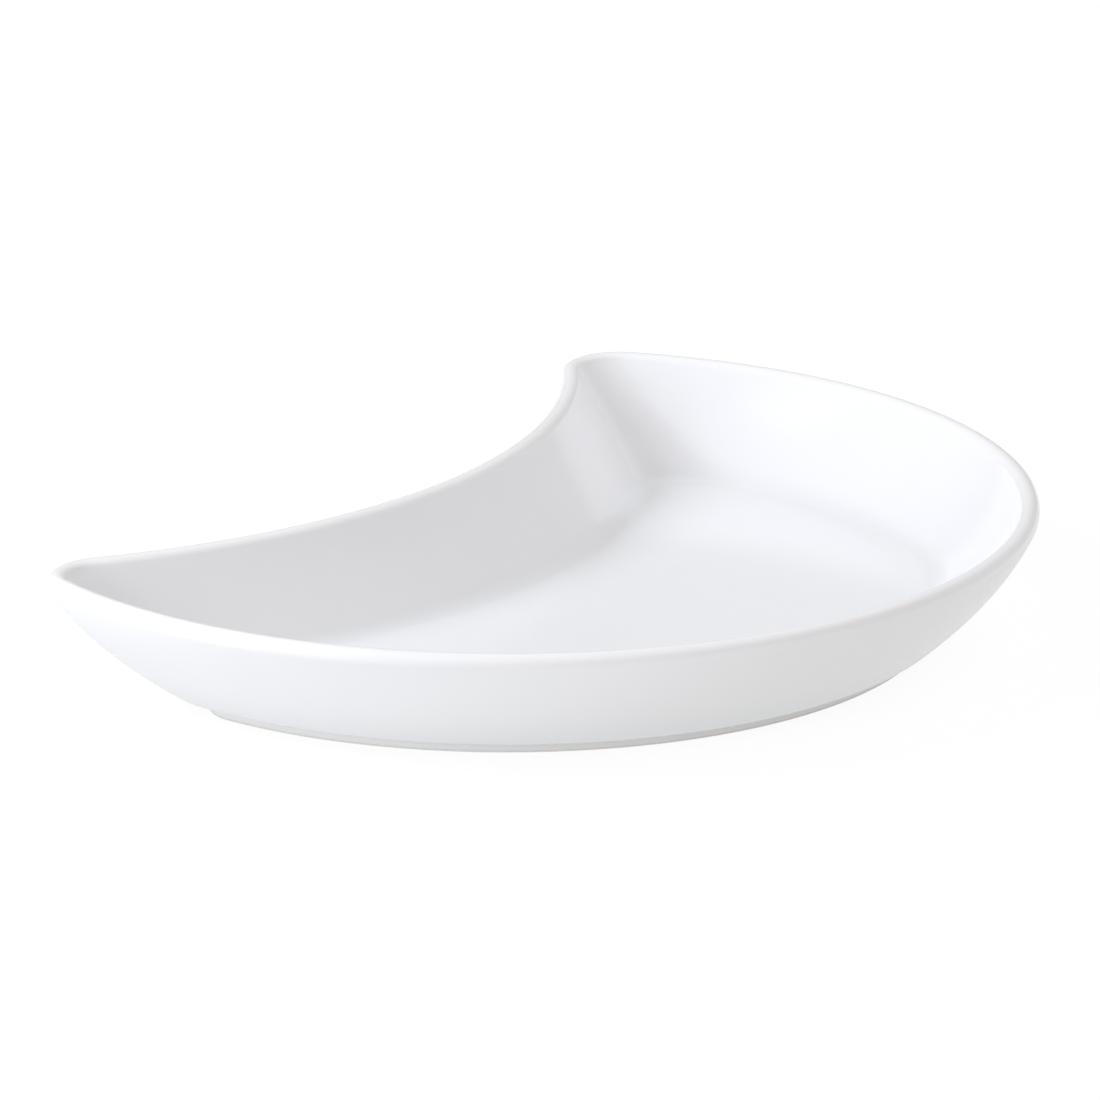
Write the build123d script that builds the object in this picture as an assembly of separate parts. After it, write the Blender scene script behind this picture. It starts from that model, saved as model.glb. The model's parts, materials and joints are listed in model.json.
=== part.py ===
"""Crescent side dish in glazed vitrified ceramic, in millimetres.

The plan is a crescent between two arcs, with round horns. The dish is symmetric about X = 0: the outer arc
bulges towards -Y, the inner arc is hollow towards +Y, and Z = 0 is the table under the foot ring.
The origin is the middle of the overall length and depth, on the table.
"""

from build123d import *
import os
from collections import namedtuple
from math import atan2, cos, hypot, pi, radians, sin, sqrt, tan

# Plan at the lip
LENGTH = 203.0  # across the outer arc, along X
WAIST = 118.0  # from front to back at X = 0, along Y
NEST_RADIUS = 131.0  # inner arc, which stands round the edge of a 260 mm plate
HORN_RADIUS = 11.6  # round end of each horn

# Heights above the table
HEIGHT = 25.2
FLOOR_TOP = 6.0  # flat floor of the well
HEEL = 2.2  # underside of the wall, outside the foot ring
RECESS_TOP = 1.2  # underside of the floor, inside the foot ring

# Wall: it leaves the lip at the lean, and leans further as it goes down
LIP_THICKNESS = 4.0  # full round lip
LEAN = radians(25)
OUTER_SPREAD = 19.8  # how far the wall on the outer arc leans in, from lip to table
INNER_SPREAD = 17.0  # the same for the wall on the inner arc, which is steeper
HORN_TIGHTENING = 1.4  # how much the horn's radius shrinks from lip to table

# Well
WELL_SPREAD_OUTER = 12.9  # how far the inside of the wall leans in, from lip to fillet
WELL_SPREAD_INNER = 11.0  # the same for the wall on the inner arc
WELL_HORN_OPENING = 1.6  # how much the inside of each horn widens, from lip to fillet
FILLET_RISE = 2.0  # height over which the wall turns into the floor

# Foot ring
FOOT_WIDTH = 4.0
FOOT_DRAFT = 0.3  # how much each side of the ring leans in towards the table
HEEL_ROUND = 1.2  # rounding where the wall turns in over the foot ring
FOOT_EDGE = 0.4  # rounding of the bare foot's edges, and the height of the glaze line

GLAZE = 0.3  # thickness of the glaze coat

outer_radius = LENGTH / 2
arc_distance = WAIST - outer_radius + NEST_RADIUS  # between the centres of the two arcs
lip_radius = LIP_THICKNESS / 2
lip_centre_z = HEIGHT - lip_radius
fillet_top = FLOOR_TOP + FILLET_RISE


def horn_centre(outer_inset, inner_inset, horn_radius):
    """Centre of the right horn's round, from the outer arc's centre. Both arcs are tangent to the round."""
    from_outer = outer_radius - outer_inset - horn_radius
    from_inner = NEST_RADIUS + inner_inset + horn_radius
    y = (from_outer**2 - from_inner**2 + arc_distance**2) / (2 * arc_distance)
    return sqrt(from_outer**2 - y**2), y


centre_y = (outer_radius - horn_centre(0, 0, HORN_RADIUS)[1] - HORN_RADIUS) / 2  # outer arc's centre

# A level of the dish: its height, how far it stands in from the lip on each arc, and its horn radius
Station = namedtuple("Station", "z outer inner horn")


def outline(station):
    """Closed wire of tangent arcs: outer arc, left horn, inner arc and right horn, each in equal pieces."""
    hx, hy = horn_centre(station.outer, station.inner, station.horn)
    outer_r = outer_radius - station.outer
    inner_r = NEST_RADIUS + station.inner
    outer_angle = atan2(hy, hx)
    inner_angle = atan2(hy - arc_distance, hx)
    arcs = [
        (0, 0, outer_r, outer_angle, -pi - outer_angle, 8),
        (-hx, hy, station.horn, pi - outer_angle, -inner_angle, 2),
        (0, arc_distance, inner_r, -pi - inner_angle, inner_angle, 4),
        (hx, hy, station.horn, inner_angle + pi, outer_angle, 2),
    ]
    starts, middles = [], []
    for x, y, radius, start, end, pieces in arcs:
        for i in range(2 * pieces):
            angle = start + (end - start) * i / (2 * pieces)
            point = Vector(x + radius * cos(angle), centre_y + y + radius * sin(angle), station.z)
            (middles if i % 2 else starts).append(point)
    ends = starts[1:] + starts[:1]
    return Wire([Edge.make_three_point_arc(*points) for points in zip(starts, middles, ends)])


def form(stations, ruled=False):
    """Solid through the stations in order, closed by a flat face on the first and on the last."""
    return Solid.make_loft([outline(station) for station in stations], ruled)


def leaning(depth, full_depth, spread):
    """How far the wall has leant in at a depth under the lip: it starts at LEAN and reaches spread."""
    return tan(LEAN) * depth + (spread - tan(LEAN) * full_depth) * (depth / full_depth) ** 2


def lip_level(angle):
    """A level of the round lip: angle 0 is its outermost point, pi / 2 its top and pi its innermost."""
    inset = lip_radius * (1 - cos(angle))
    return Station(lip_centre_z + lip_radius * sin(angle), inset, inset, HORN_RADIUS - inset)


def wall_level(z, push=0.0):
    """The outside of the wall at a height, pushed further in by push."""
    top = lip_level(-LEAN)
    depth = top.z - z
    return Station(
        z,
        top.outer + leaning(depth, top.z, OUTER_SPREAD) + push,
        top.inner + leaning(depth, top.z, INNER_SPREAD) + push,
        top.horn - HORN_TIGHTENING * depth / top.z,
    )


def heel_level(angle):
    """The quarter round at the wall's lower edge: angle 0 faces the table, pi / 2 runs into the wall."""
    return wall_level(HEEL + HEEL_ROUND * (1 - cos(angle)), HEEL_ROUND * (1 - sin(angle)))


def well_level(z):
    """The inside of the wall at a height between the fillet and the lip."""
    top = lip_level(pi - LEAN)
    depth = top.z - z
    full_depth = top.z - fillet_top
    return Station(
        z,
        top.outer + leaning(depth, full_depth, WELL_SPREAD_OUTER),
        top.inner + leaning(depth, full_depth, WELL_SPREAD_INNER),
        top.horn + WELL_HORN_OPENING * depth / full_depth,
    )


def fillet_level(t):
    """The curve from wall to floor: in line with the wall at t 0, level with the floor at t 1."""
    top = well_level(fillet_top)
    step = 0.01
    below = well_level(fillet_top - step)

    def bend(start, next_one):
        """A curve between two tangents of equal length that meet at the floor."""
        corner = start + (next_one - start) * FILLET_RISE / step
        end = corner + hypot(FILLET_RISE, corner - start)
        return start * (1 - t) ** 2 + corner * 2 * t * (1 - t) + end * t * t

    return Station(
        FLOOR_TOP + FILLET_RISE * (1 - t) ** 2,
        bend(top.outer, below.outer),
        bend(top.inner, below.inner),
        top.horn - FILLET_RISE * t * t,
    )


def bowl_stations():
    """Up the outside of the wall from the heel, over the lip and down into the well."""
    heel_steps, wall_steps, lip_steps, fillet_steps = 4, 8, 8, 5
    crowding = 1.5  # above 1, the levels crowd towards the lip

    def heights(low, high):
        """Heights from low up to high, not included."""
        return [high - (high - low) * (1 - i / wall_steps) ** crowding for i in range(wall_steps)]

    heel = [heel_level(pi / 2 * i / heel_steps) for i in range(heel_steps)]
    wall = [wall_level(z) for z in heights(HEEL + HEEL_ROUND, lip_level(-LEAN).z)]
    lip = [lip_level(-LEAN + pi * i / lip_steps) for i in range(lip_steps + 1)]
    well = [well_level(z) for z in reversed(heights(fillet_top, lip_level(pi - LEAN).z))]
    fillet = [fillet_level(i / fillet_steps) for i in range(1, fillet_steps + 1)]
    return heel + wall + lip + well + fillet


def sink(stations, depth):
    """The same run of stations, moved by depth into the ceramic along the wall's normal."""
    moved = []
    for i, station in enumerate(stations):
        before = stations[max(i - 1, 0)]
        after = stations[min(i + 1, len(stations) - 1)]
        along = (after.outer + after.inner - before.outer - before.inner) / 2
        up = after.z - before.z
        inset = depth * up / hypot(along, up)
        lift = -depth * along / hypot(along, up)
        moved.append(
            Station(station.z + lift, station.outer + inset, station.inner + inset, station.horn - inset)
        )
    return moved


def foot_level(z, inset):
    """The foot ring's outline at a height, inset from its outer edge at the table."""
    base = wall_level(0)
    return Station(z, base.outer + inset, base.inner + inset, base.horn - inset)


def foot_block(skin):
    """Filled foot ring from the glaze line up into the floor, skin under its glazed surface."""
    inside_floor = (HEEL + FLOOR_TOP) / 2
    return form([foot_level(FOOT_EDGE, skin), foot_level(inside_floor, skin - FOOT_DRAFT)], ruled=True)


def recess(skin):
    """Hollow inside the foot ring from the glaze line up, skin outside its glazed surface."""
    corner = 0.4  # bevel between the ring's inside and the underside of the floor
    inset = FOOT_WIDTH - skin
    return form(
        [
            foot_level(FOOT_EDGE, inset),
            foot_level(RECESS_TOP - corner + skin, inset + FOOT_DRAFT),
            foot_level(RECESS_TOP + skin, inset + FOOT_DRAFT + corner),
        ],
        ruled=True,
    )


def dish(skin=0.0):
    """Everything above the glaze line, skin under its glazed surface."""
    stations = bowl_stations()
    bowl = form(sink(stations, skin)) if skin else form(stations)
    return bowl + foot_block(skin) - recess(skin)


def bare_foot():
    """The foot ring below the glaze line, with eased edges and a flat bearing face on the table."""
    levels = ((0.0, FOOT_EDGE), (FOOT_EDGE / 4, FOOT_EDGE / 3), (FOOT_EDGE, 0.0))
    outside = form([foot_level(z, ease) for z, ease in levels], ruled=True)
    inside = form([foot_level(z, FOOT_WIDTH - ease) for z, ease in levels], ruled=True)
    return outside - inside


def build():
    """Every piece by node name."""
    core = dish(GLAZE)
    underside, coat = (dish() - core).solids().sort_by(SortBy.VOLUME)
    return {"ceramic_body": core + bare_foot(), "glaze_coat": coat, "underside_glaze": underside}


os.makedirs("parts", exist_ok=True)
for name, shape in build().items():
    shape.label = name
    export_step(shape, f"parts/{name}.step")
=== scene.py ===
"""Crescent side dish in white glazed ceramic, on a pale floor in soft studio light. Lengths are in metres.

The dish's three volumes are rebuilt as clean quad meshes on the CAD part's own outlines. They are the glaze
over the well, lip and outside, the glaze in the recess under the floor, and the ceramic body, which shows at
the foot.
"""

import json
from collections import namedtuple
from math import atan2, cos, exp, hypot, pi, radians, sin, sqrt, tan

import bmesh
import bpy
from mathutils import Matrix, Vector


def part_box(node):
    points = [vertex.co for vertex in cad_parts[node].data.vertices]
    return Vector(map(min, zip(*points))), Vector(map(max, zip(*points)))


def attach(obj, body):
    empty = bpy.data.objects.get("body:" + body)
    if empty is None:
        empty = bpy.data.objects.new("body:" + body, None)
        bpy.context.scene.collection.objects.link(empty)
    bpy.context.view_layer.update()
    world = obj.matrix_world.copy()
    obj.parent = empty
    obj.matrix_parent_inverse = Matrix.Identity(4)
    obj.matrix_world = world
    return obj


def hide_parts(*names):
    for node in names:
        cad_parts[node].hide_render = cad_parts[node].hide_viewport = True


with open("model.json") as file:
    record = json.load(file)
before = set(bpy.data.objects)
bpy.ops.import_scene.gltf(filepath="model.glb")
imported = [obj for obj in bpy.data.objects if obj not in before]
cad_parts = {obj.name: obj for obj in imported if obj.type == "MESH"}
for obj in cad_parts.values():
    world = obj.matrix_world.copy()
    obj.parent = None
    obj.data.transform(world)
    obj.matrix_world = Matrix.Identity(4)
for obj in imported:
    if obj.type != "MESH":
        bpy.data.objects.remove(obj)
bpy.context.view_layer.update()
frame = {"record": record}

MM = 0.001

# What the CAD frame says
coat_low, coat_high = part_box("glaze_coat")
recess_low, recess_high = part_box("underside_glaze")
mounts = {mount["name"]: mount["pos_m"] for mount in frame["record"]["mounts"]}
outer_radius = (coat_high.x - coat_low.x) / 2
height = coat_high.z
floor_top = mounts["well_floor"][2]
glaze_line = coat_low.z  # the glaze stops this far above the table

# The rest of the dish's form, as the CAD part has it
NEST_RADIUS = 131 * MM
HORN_RADIUS = 11.6 * MM
LIP_RADIUS = 2 * MM
LEAN = radians(25)
OUTER_SPREAD = 19.8 * MM
INNER_SPREAD = 17 * MM
HORN_TIGHTENING = 1.4 * MM
WELL_SPREAD_OUTER = 12.9 * MM
WELL_SPREAD_INNER = 11 * MM
WELL_HORN_OPENING = 1.6 * MM
FILLET_RISE = 2 * MM
HEEL = 2.2 * MM
HEEL_ROUND = 1.2 * MM
FOOT_WIDTH = 4 * MM
FOOT_DRAFT = 0.3 * MM
GLAZE = 0.3 * MM
BEAD = 0.15 * MM  # rounding of the glaze's edge at the foot

# Mesh density
ARC_SEGMENTS = 200  # along each arc of the outline
HORN_SEGMENTS = 40  # round each horn, an even number
FLOOR_ROWS = 24  # across the flat floor

BACKDROP_GLOW = 0.88  # how brightly the floor shines by itself to the camera
FLOOR_GLOW = 0.525  # the same, to the dish
DAYLIGHT = (0.86, 0.91, 1.0)  # colour of the softboxes

lip_centre_z = height - LIP_RADIUS
fillet_top = floor_top + FILLET_RISE
centre_y = outer_radius + coat_low.y  # outer arc's centre
horn_y = coat_high.y - HORN_RADIUS - centre_y
horn_x = sqrt((outer_radius - HORN_RADIUS) ** 2 - horn_y**2)
arc_distance = horn_y + sqrt((NEST_RADIUS + HORN_RADIUS) ** 2 - horn_x**2)

# A level of the dish: its height, how far it stands in from the lip on each arc, and its horn radius
Station = namedtuple("Station", "z outer inner horn")


def horn_centre(station):
    """Centre of the right horn's round, from the outer arc's centre."""
    from_outer = outer_radius - station.outer - station.horn
    from_inner = NEST_RADIUS + station.inner + station.horn
    y = (from_outer**2 - from_inner**2 + arc_distance**2) / (2 * arc_distance)
    return sqrt(from_outer**2 - y**2), y


def sweep(cx, cy, radius, start, end, segments):
    """Points on a circle from the start angle up to, not including, the end angle."""
    angles = [start + (end - start) * i / segments for i in range(segments)]
    return [(cx + radius * cos(a), cy + radius * sin(a)) for a in angles]


def outline(station):
    """Points round a level, anticlockwise from above, from the middle of the right horn."""
    hx, hy = horn_centre(station)
    outer_angle = atan2(hy, hx)
    inner_angle = atan2(hy - arc_distance, hx)
    tip = (outer_angle + inner_angle + pi) / 2
    half_horn = HORN_SEGMENTS // 2
    inner_radius = NEST_RADIUS + station.inner
    points = sweep(hx, hy, station.horn, tip, inner_angle + pi, half_horn)
    points += sweep(0, arc_distance, inner_radius, inner_angle, -pi - inner_angle, ARC_SEGMENTS)
    points += sweep(-hx, hy, station.horn, -inner_angle, pi - outer_angle, HORN_SEGMENTS)
    points += sweep(0, 0, outer_radius - station.outer, pi - outer_angle, 2 * pi + outer_angle, ARC_SEGMENTS)
    points += sweep(hx, hy, station.horn, outer_angle, tip, half_horn)
    return [Vector((x, centre_y + y, station.z)) for x, y in points]


def leaning(depth, full_depth, spread):
    """How far the wall has leant in at a depth under the lip: it starts at LEAN and reaches spread."""
    return tan(LEAN) * depth + (spread - tan(LEAN) * full_depth) * (depth / full_depth) ** 2


def lip_level(angle):
    """A level of the round lip: angle 0 is its outermost point, pi / 2 its top and pi its innermost."""
    inset = LIP_RADIUS * (1 - cos(angle))
    return Station(lip_centre_z + LIP_RADIUS * sin(angle), inset, inset, HORN_RADIUS - inset)


def wall_level(z, push=0.0):
    """The outside of the wall at a height, pushed further in by push."""
    top = lip_level(-LEAN)
    depth = top.z - z
    return Station(
        z,
        top.outer + leaning(depth, top.z, OUTER_SPREAD) + push,
        top.inner + leaning(depth, top.z, INNER_SPREAD) + push,
        top.horn - HORN_TIGHTENING * depth / top.z,
    )


def heel_level(angle):
    """The quarter round at the wall's lower edge: angle 0 faces the table, pi / 2 runs into the wall."""
    return wall_level(HEEL + HEEL_ROUND * (1 - cos(angle)), HEEL_ROUND * (1 - sin(angle)))


def well_level(z):
    """The inside of the wall at a height between the fillet and the lip."""
    top = lip_level(pi - LEAN)
    depth = top.z - z
    full_depth = top.z - fillet_top
    return Station(
        z,
        top.outer + leaning(depth, full_depth, WELL_SPREAD_OUTER),
        top.inner + leaning(depth, full_depth, WELL_SPREAD_INNER),
        top.horn + WELL_HORN_OPENING * depth / full_depth,
    )


def fillet_level(t):
    """The curve from wall to floor: in line with the wall at t 0, level with the floor at t 1."""
    top = well_level(fillet_top)
    step = 0.01 * MM
    below = well_level(fillet_top - step)

    def bend(start, next_one):
        """A curve between two tangents of equal length that meet at the floor."""
        corner = start + (next_one - start) * FILLET_RISE / step
        end = corner + hypot(FILLET_RISE, corner - start)
        return start * (1 - t) ** 2 + corner * 2 * t * (1 - t) + end * t * t

    return Station(
        floor_top + FILLET_RISE * (1 - t) ** 2,
        bend(top.outer, below.outer),
        bend(top.inner, below.inner),
        top.horn - FILLET_RISE * t * t,
    )


def foot_level(z, inset):
    """The foot ring's outline at a height, inset from its outer edge at the table."""
    base = wall_level(0)
    return Station(z, base.outer + inset, base.inner + inset, base.horn - inset)


def bowl_stations():
    """From the heel up the outside of the wall, over the lip and down to the edge of the floor."""
    heel_steps, wall_steps, lip_steps, fillet_steps = 8, 26, 24, 12
    crowding = 1.5  # above 1, the levels crowd towards the lip

    def heights(low, high):
        """Heights from low up to high, not included."""
        return [high - (high - low) * (1 - i / wall_steps) ** crowding for i in range(wall_steps)]

    heel = [heel_level(pi / 2 * i / heel_steps) for i in range(heel_steps)]
    wall = [wall_level(z) for z in heights(HEEL + HEEL_ROUND, lip_level(-LEAN).z)]
    lip = [lip_level(-LEAN + pi * i / lip_steps) for i in range(lip_steps + 1)]
    well = [well_level(z) for z in reversed(heights(fillet_top, lip_level(pi - LEAN).z))]
    fillet = [fillet_level(i / fillet_steps) for i in range(1, fillet_steps + 1)]
    return heel + wall + lip + well + fillet


def quarter(steps):
    """Angles from 0 to pi / 2 in equal steps."""
    return [pi / 2 * i / steps for i in range(steps + 1)]


def foot_side_stations():
    """The outside of the foot ring, from the glaze line up to the heel."""
    steps = 4
    ease = 0.25 * MM  # radius of the fillet between the foot ring and the underside of the wall
    side = [
        foot_level(glaze_line + (HEEL - ease - glaze_line) * i / steps, -FOOT_DRAFT * i / steps)
        for i in range(steps + 1)
    ]
    fillet = [
        foot_level(HEEL - ease * (1 - sin(a)), -FOOT_DRAFT - ease * (1 - cos(a)))
        for a in quarter(steps)[1:]
    ]
    return side + fillet


def bead(edge, inward):
    """The rounded edge of the glaze at the glaze line. It ends on the glazed surface, at the inset edge.

    The ceramic lies at greater insets where inward is 1, and at smaller ones where it is -1.
    """
    steps = 5
    return [
        foot_level(glaze_line + BEAD * (1 - cos(a)), edge + inward * BEAD * (1 - sin(a)))
        for a in quarter(steps)
    ]


def sink(stations, depth):
    """The same run of stations, moved by depth into the ceramic along the surface's normal."""
    moved = []
    for i, station in enumerate(stations):
        before = stations[max(i - 1, 0)]
        after = stations[min(i + 1, len(stations) - 1)]
        along = (after.outer + after.inner - before.outer - before.inner) / 2
        up = after.z - before.z
        inset = depth * up / hypot(along, up)
        lift = -depth * along / hypot(along, up)
        moved.append(
            Station(station.z + lift, station.outer + inset, station.inner + inset, station.horn - inset)
        )
    return moved


def settled(point):
    """Where a point of the pressed dish ends up in the kiln: the lip dips unevenly and the floor sags."""
    lip_dip, twist = 0.15 * MM, 0.6  # the dip is deepest on two opposite sides, turned by the twist
    floor_sag, sag_radius, sag_stretch = 0.12 * MM, 30 * MM, 1.6  # the sag is longer along X
    sag_middle = -10 * MM  # along Y
    round_dish = atan2(point.y - centre_y, point.x)
    from_middle = hypot(point.x / sag_stretch, point.y - sag_middle) / sag_radius
    dip = lip_dip * (1 - cos(2 * round_dish + twist)) / 2 * (point.z / height) ** 2
    sag = floor_sag * exp(-(from_middle**2)) * min(point.z / recess_high.z, 1)
    return Vector((point.x, point.y, point.z - dip - sag))


class Shell:
    """A mesh built from rings of vertices, one ring for each level of the dish."""

    def __init__(self, name):
        self.name = name
        self.mesh = bmesh.new()

    def ring(self, station):
        """Vertices round a level."""
        return [self.mesh.verts.new(point) for point in outline(station)]

    def band(self, stations):
        """Quads from level to level. Returns the first and the last ring."""
        rings = [self.ring(station) for station in stations]
        for lower, upper in zip(rings, rings[1:]):
            self.bridge(lower, upper)
        return rings[0], rings[-1]

    def bridge(self, lower, upper):
        """Quads between two rings, facing outward where upper is above lower."""
        for i in range(len(lower)):
            j = (i + 1) % len(lower)
            self.mesh.faces.new((lower[i], lower[j], upper[j], upper[i]))

    def fill(self, ring):
        """Closes a ring with a ladder of quads from the inner arc to the outer arc, facing up."""
        half = len(ring) // 2
        columns = [[ring[0]]]
        for i in range(1, half):
            back, front = ring[i], ring[-i]
            steps = [back.co.lerp(front.co, row / FLOOR_ROWS) for row in range(1, FLOOR_ROWS)]
            columns.append([back] + [self.mesh.verts.new(co) for co in steps] + [front])
        columns.append([ring[half]])
        for right, left in zip(columns, columns[1:]):
            for row in range(FLOOR_ROWS):
                corners = [
                    right[min(row, len(right) - 1)],
                    left[min(row, len(left) - 1)],
                    left[min(row + 1, len(left) - 1)],
                    right[min(row + 1, len(right) - 1)],
                ]
                self.mesh.faces.new(sorted(set(corners), key=corners.index))

    def finish(self, material, slot, *nodes):
        """Makes the object, which stands for the CAD nodes and moves with the one body."""
        for vertex in self.mesh.verts:
            vertex.co = settled(vertex.co)
        bmesh.ops.recalc_face_normals(self.mesh, faces=self.mesh.faces)
        data = bpy.data.meshes.new(self.name)
        self.mesh.to_mesh(data)
        self.mesh.free()
        data.shade_smooth()
        data.materials.append(material)
        piece = bpy.data.objects.new(self.name, data)
        bpy.context.scene.collection.objects.link(piece)
        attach(piece, "root")
        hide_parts(*nodes)


def build_glaze_coat(material):
    """The glass skin over the outside of the foot ring, the wall, the lip and the well."""
    shell = Shell("dish_glaze")
    surface = foot_side_stations() + bowl_stations()
    outside_foot, outside_floor = shell.band(bead(0, 1) + surface[1:])
    inside_foot, inside_floor = shell.band(sink(surface, GLAZE))
    shell.fill(outside_floor)
    shell.fill(inside_floor)
    shell.bridge(outside_foot, inside_foot)
    shell.finish(material, "white_glaze", "glaze_coat")


def recess_stations(skin):
    """The recess under the floor, from the glaze line up the foot ring, skin behind its glazed surface."""
    side_steps, fillet_steps = 4, 8
    top = recess_high.z - GLAZE + skin
    corner = 0.6 * MM  # radius of the fillet between the foot ring and the underside of the floor
    edge = FOOT_WIDTH - skin
    side_top = top - corner
    side = [
        foot_level(glaze_line + (side_top - glaze_line) * i / side_steps, edge + FOOT_DRAFT * i / side_steps)
        for i in range(side_steps)
    ]
    fillet = [
        foot_level(side_top + corner * sin(a), edge + FOOT_DRAFT + corner * (1 - cos(a)))
        for a in quarter(fillet_steps)
    ]
    return side + fillet


def build_underside_glaze(material):
    """The glass skin in the recess under the floor."""
    shell = Shell("underside_glaze_skin")
    visible_edge, visible_top = shell.band(bead(FOOT_WIDTH, -1) + recess_stations(0)[1:])
    hidden_edge, hidden_top = shell.band(recess_stations(GLAZE))
    shell.fill(visible_top)
    shell.fill(hidden_top)
    shell.bridge(visible_edge, hidden_edge)
    shell.finish(material, "white_glaze", "underside_glaze")


def build_body(material):
    """The ceramic under the glaze, bare on the foot ring's bearing face."""
    shell = Shell("ceramic_core")
    steps = 6  # round each edge of the bearing face
    edge = 0.4 * MM  # how far the bearing face stands in from the foot ring's sides
    wiped = 0.1 * MM  # how far the bare foot stands back from the glaze
    eased = [(glaze_line * (1 - cos(a)), wiped + (edge - wiped) * (1 - sin(a))) for a in quarter(steps)]
    outside = [foot_level(z, inset) for z, inset in eased]
    inside = [foot_level(z, FOOT_WIDTH - inset) for z, inset in eased]
    surface = sink(foot_side_stations() + bowl_stations(), GLAZE)
    bearing_outer, rim = shell.band(outside + surface)
    bearing_inner, recess_rim = shell.band(inside + recess_stations(GLAZE))
    shell.fill(rim)
    shell.fill(recess_rim)
    shell.bridge(bearing_outer, bearing_inner)
    shell.finish(material, "bare_ceramic", "ceramic_body")


class Shader:
    """A node tree for one material, with a Principled shader at its end. Textures are laid out in metres."""

    def __init__(self, name):
        self.material = bpy.data.materials.new(name)
        self.material.use_nodes = True
        self.tree = self.material.node_tree
        self.surface = self.tree.nodes["Principled BSDF"]
        self.place = self.add("ShaderNodeTexCoord").outputs["Object"]

    def add(self, kind, **values):
        """A node, with its properties and inputs set by name. An input given an output is linked to it."""
        node = self.tree.nodes.new(kind)
        for name, value in values.items():
            if name in node.inputs:
                self.feed(node.inputs[name], value)
            else:
                setattr(node, name, value)
        return node

    def feed(self, target, value):
        """Links an output to an input, or sets the input to a plain value."""
        if isinstance(value, bpy.types.NodeSocket):
            self.tree.links.new(value, target)
        else:
            target.default_value = value

    def set(self, **values):
        """Sets or links the Principled shader's inputs, with _ for each space in a name."""
        for name, value in values.items():
            self.feed(self.surface.inputs[name.replace("_", " ")], value)

    def noise(self, size, detail=2.0):
        """Cloudy values from 0 to 1 whose clouds are about size across."""
        clouds = self.add("ShaderNodeTexNoise", Vector=self.place, Scale=1 / size, Detail=detail)
        return clouds.outputs["Fac"]

    def dots(self, spacing, radius, share):
        """1 in round dots and 0 elsewhere: one place every spacing, a share of which holds a dot."""
        cells = self.add("ShaderNodeTexVoronoi", Vector=self.place, Scale=1 / spacing)
        near = self.span(cells.outputs["Distance"], radius / spacing, 0.5 * radius / spacing)
        chance = self.add("ShaderNodeSeparateColor", Color=cells.outputs["Color"]).outputs["Red"]
        chosen = self.add("ShaderNodeMath", operation="LESS_THAN")
        self.feed(chosen.inputs[0], chance)
        self.feed(chosen.inputs[1], share)
        both = self.add("ShaderNodeMath", operation="MULTIPLY")
        self.feed(both.inputs[0], near)
        self.feed(both.inputs[1], chosen.outputs[0])
        return both.outputs[0]

    def height(self):
        """Height above the table."""
        return self.add("ShaderNodeSeparateXYZ", Vector=self.place).outputs["Z"]

    def span(self, value, start, end, low=0.0, high=1.0):
        """Smoothly from low, where the value is at start, to high, where it's at end."""
        node = self.add("ShaderNodeMapRange", interpolation_type="SMOOTHSTEP", Value=value)
        for name, number in {"From Min": start, "From Max": end, "To Min": low, "To Max": high}.items():
            node.inputs[name].default_value = number
        return node.outputs["Result"]

    def blend(self, share, first, second, mode="MIX"):
        """First colour turned into the second by a share."""
        node = self.add("ShaderNodeMix", data_type="RGBA", blend_type=mode)
        sockets = {socket.identifier: socket for socket in node.inputs}
        self.feed(sockets["Factor_Float"], share)
        self.feed(sockets["A_Color"], first)
        self.feed(sockets["B_Color"], second)
        return next(socket for socket in node.outputs if socket.identifier == "Result_Color")

    def relief(self, *layers):
        """Bumps laid over one another. Each layer is its height from 0 to 1 and its depth in metres."""
        normal = None
        for value, depth in layers:
            bump = self.add("ShaderNodeBump", Height=value, Distance=depth)
            if normal is not None:
                self.feed(bump.inputs["Normal"], normal)
            normal = bump.outputs["Normal"]
        self.set(Normal=normal)


def glaze_material():
    """White glaze: glassy and faintly wavy, cooler where it pools and warmer where it thins over the lip.

    It is greyer on the heel, the foot ring and the recess under the floor. This is painted shade where the
    wall overhangs them, and it also stands for the glaze thinning there and letting the grey of the ceramic
    through.
    """
    shader = Shader("white_glaze")
    white = (0.862, 0.866, 0.872, 1)
    pooled = (0.835, 0.853, 0.862, 1)
    thin = (0.872, 0.869, 0.864, 1)
    # painted shade: a greyer glaze for the heel, the foot ring and the recess, which the overhanging wall
    # shades; it also stands for the thin glaze there
    foot_shade_grey = (0.785, 0.79, 0.79, 1)
    ash = (0.45, 0.42, 0.38, 1)
    level = shader.height()
    drift = shader.noise(14 * MM)  # slow clouding of the whole coat
    lip = shader.span(level, lip_centre_z, height, 0.0, 0.8)
    corner = shader.span(level, fillet_top + 1.5 * MM, floor_top + 0.3 * MM, 0.0, 0.7)
    # painted shade: the glaze turns grey from part way round the heel down to the table and into the recess
    foot = shader.span(level, HEEL + 0.4 * HEEL_ROUND, HEEL)
    colour = shader.blend(corner, white, pooled)
    colour = shader.blend(lip, colour, thin)
    colour = shader.blend(foot, colour, foot_shade_grey)
    cloudy = shader.blend(drift, (0.985, 0.985, 0.985, 1), (1, 1, 1, 1))
    colour = shader.blend(1.0, colour, cloudy, mode="MULTIPLY")
    specks = shader.dots(spacing=9 * MM, radius=0.14 * MM, share=0.12)
    colour = shader.blend(shader.span(specks, 0, 1, 0.0, 0.5), colour, ash)
    pinholes = shader.dots(spacing=5 * MM, radius=0.12 * MM, share=0.10)
    waves = shader.noise(16 * MM, detail=1.0)
    orange_peel = shader.noise(1.8 * MM, detail=1.0)
    pits = shader.span(pinholes, 0, 1, 1.0, 0.0)
    shader.relief((waves, 0.05 * MM), (orange_peel, 0.0025 * MM), (pits, 0.03 * MM))
    roughness = shader.span(shader.noise(30 * MM), 0.3, 0.7, 0.13, 0.17)
    shader.set(Base_Color=colour, Roughness=roughness, IOR=1.5)
    return shader.material


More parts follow.
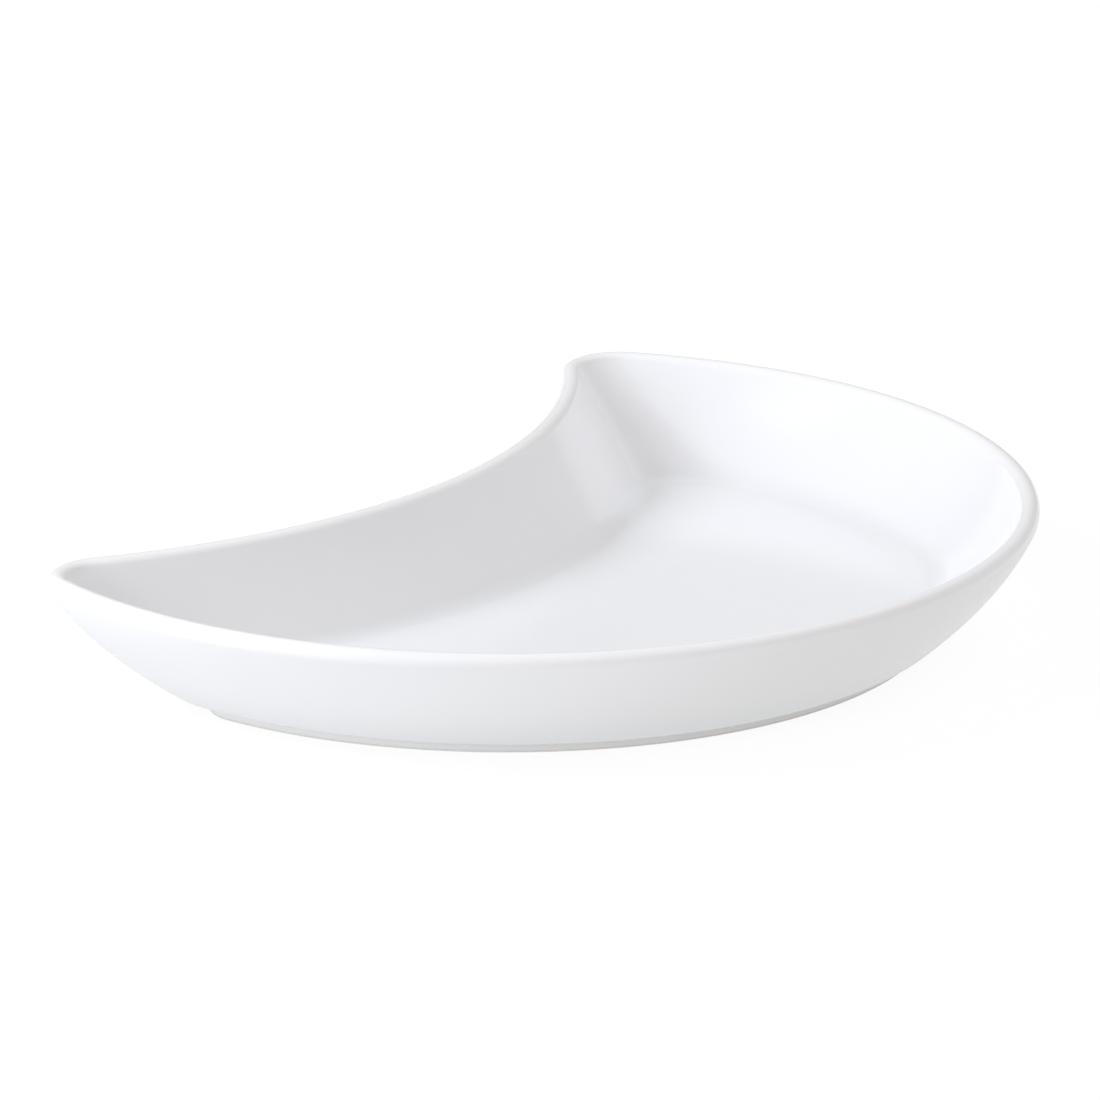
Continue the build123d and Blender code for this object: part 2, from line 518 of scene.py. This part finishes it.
def bare_material():
    """Bare fired ceramic on the foot ring: matt, off-white, sandy, and greyed where it rubs on tables."""
    shader = Shader("bare_ceramic")
    body = (0.72, 0.70, 0.66, 1)
    sand = (0.82, 0.80, 0.77, 1)
    toasted = (0.72, 0.68, 0.62, 1)
    rubbed = (0.46, 0.46, 0.46, 1)
    grit = (0.25, 0.21, 0.17, 1)
    level = shader.height()
    grain = shader.noise(0.25 * MM, detail=4.0)
    colour = shader.blend(shader.span(grain, 0.4, 0.65), body, sand)
    colour = shader.blend(shader.span(level, 0.5 * glaze_line, glaze_line, 0.0, 0.6), colour, toasted)
    touching = shader.span(level, 0.06 * MM, 0.0)
    scuffs = shader.span(shader.noise(6 * MM, detail=6.0), 0.48, 0.70, 0.0, 0.6)
    colour = shader.blend(shader.blend(touching, (0, 0, 0, 1), scuffs), colour, rubbed)
    grains = shader.dots(spacing=1.2 * MM, radius=0.1 * MM, share=0.25)
    colour = shader.blend(grains, colour, grit)
    shader.relief((grain, 0.03 * MM), (shader.noise(1.5 * MM), 0.02 * MM))
    roughness = shader.span(grain, 0.3, 0.7, 0.65, 0.9)
    shader.set(Base_Color=colour, Roughness=roughness, Specular_IOR_Level=0.3)
    return shader.material


def floor_material():
    """A white light table. It shines brighter to the camera, which keeps it clean and its shadows faint.

    From below it's clear, so that it doesn't hide the dish's underside.
    """
    shader = Shader("pale_floor")
    seen = shader.add("ShaderNodeLightPath").outputs["Is Camera Ray"]
    fibres = shader.noise(0.4 * MM, detail=3.0)
    paper = shader.blend(fibres, (0.34, 0.34, 0.34, 1), (0.36, 0.36, 0.36, 1))
    faint = (0.12, 0.12, 0.12, 1)  # the darker the paper is to the camera, the fainter its shadows
    shader.set(Base_Color=shader.blend(seen, paper, faint), Roughness=0.9)
    glow = shader.span(seen, 0, 1, FLOOR_GLOW, BACKDROP_GLOW)
    shader.set(Emission_Color=(1, 1, 1, 1), Emission_Strength=glow)
    shader.relief((fibres, 0.02 * MM))
    from_below = shader.add("ShaderNodeNewGeometry").outputs["Backfacing"]
    sides = shader.add("ShaderNodeMixShader", Fac=from_below)
    shader.feed(sides.inputs[1], shader.surface.outputs["BSDF"])
    shader.feed(sides.inputs[2], shader.add("ShaderNodeBsdfTransparent").outputs["BSDF"])
    shader.feed(shader.tree.nodes["Material Output"].inputs["Surface"], sides.outputs["Shader"])
    return shader.material


def build_floor():
    """A plain pale floor, wide enough to fill the picture."""
    reach = 6.0  # from the dish to each edge
    mesh = bmesh.new()
    bmesh.ops.create_grid(mesh, x_segments=8, y_segments=8, size=reach)
    data = bpy.data.meshes.new("floor")
    mesh.to_mesh(data)
    mesh.free()
    data.materials.append(floor_material())
    floor = bpy.data.objects.new("floor", data)
    floor.location.z = -0.02 * MM  # just clear of the foot's bearing face
    bpy.context.scene.collection.objects.link(floor)


def direction(azimuth, elevation):
    """Unit vector from the dish towards a point at a bearing. Azimuth 0 is towards -Y, 90 towards +X."""
    a, e = radians(azimuth), radians(elevation)
    return Vector((sin(a) * cos(e), -cos(a) * cos(e), sin(e)))


def add_softbox(name, azimuth, elevation, size, power):
    """A square area light of a size in metres and a power in watts, which the glaze doesn't mirror."""
    distance = 1.2  # from the middle of the dish, which it faces
    light = bpy.data.lights.new(name, "AREA")
    light.size = size
    light.energy = power
    light.color = DAYLIGHT
    lamp = bpy.data.objects.new(name, light)
    bpy.context.scene.collection.objects.link(lamp)
    towards = direction(azimuth, elevation)
    lamp.location = towards * distance
    lamp.rotation_mode = "QUATERNION"
    lamp.rotation_quaternion = towards.to_track_quat("Z", "Y")
    lamp.visible_glossy = False


def add_world(strength, colour):
    """Even light from all round. The camera sees it as white as the floor."""
    world = bpy.data.worlds.new("studio")
    world.use_nodes = True
    nodes, links = world.node_tree.nodes, world.node_tree.links
    background = nodes["Background"]
    background.inputs["Color"].default_value = (*colour, 1)
    background.inputs["Strength"].default_value = strength
    white = nodes.new("ShaderNodeBackground")
    white.inputs["Color"].default_value = (1, 1, 1, 1)
    switch = nodes.new("ShaderNodeMixShader")
    links.new(nodes.new("ShaderNodeLightPath").outputs["Is Camera Ray"], switch.inputs["Fac"])
    links.new(background.outputs["Background"], switch.inputs[1])
    links.new(white.outputs["Background"], switch.inputs[2])
    links.new(switch.outputs["Shader"], nodes["World Output"].inputs["Surface"])
    bpy.context.scene.world = world


def add_camera():
    """A long lens at the photo's viewing angle, aimed beside the dish's centre so that the dish sits low."""
    azimuth, elevation, distance = -55.0, 17.3, 2.13
    focal_length, sensor = 363.3, 36.0  # in millimetres
    slide, rise = 7.9 * MM, 13.3 * MM  # the aim's offset from the outer arc's centre on the table
    back = direction(azimuth, elevation)
    right = Vector((0, 0, 1)).cross(back).normalized()
    up = back.cross(right)
    data = bpy.data.cameras.new("camera")
    data.lens = focal_length
    data.sensor_width = sensor
    data.clip_end = 50.0  # beyond the floor's far edge
    camera = bpy.data.objects.new("camera", data)
    bpy.context.scene.collection.objects.link(camera)
    camera.location = Vector((0, centre_y, 0)) + back * distance + right * slide + up * rise
    camera.rotation_mode = "QUATERNION"
    camera.rotation_quaternion = Matrix((right, up, back)).transposed().to_quaternion()
    bpy.context.scene.camera = camera


glaze = glaze_material()
build_glaze_coat(glaze)
build_underside_glaze(glaze)
build_body(bare_material())
build_floor()
add_world(strength=0.488, colour=(1.0, 0.935, 0.885))
add_softbox("back_key", azimuth=-140, elevation=38, size=0.4, power=6.6)
add_softbox("high_key", azimuth=-140, elevation=50, size=0.4, power=1.7)
add_softbox("side_key", azimuth=-100, elevation=10, size=0.6, power=5.3)
add_softbox("front_fill", azimuth=20, elevation=50, size=1.0, power=3.5)
add_softbox("right_fill", azimuth=90, elevation=38, size=1.0, power=2.9)
add_camera()
bpy.context.scene.view_settings.view_transform = "Standard"
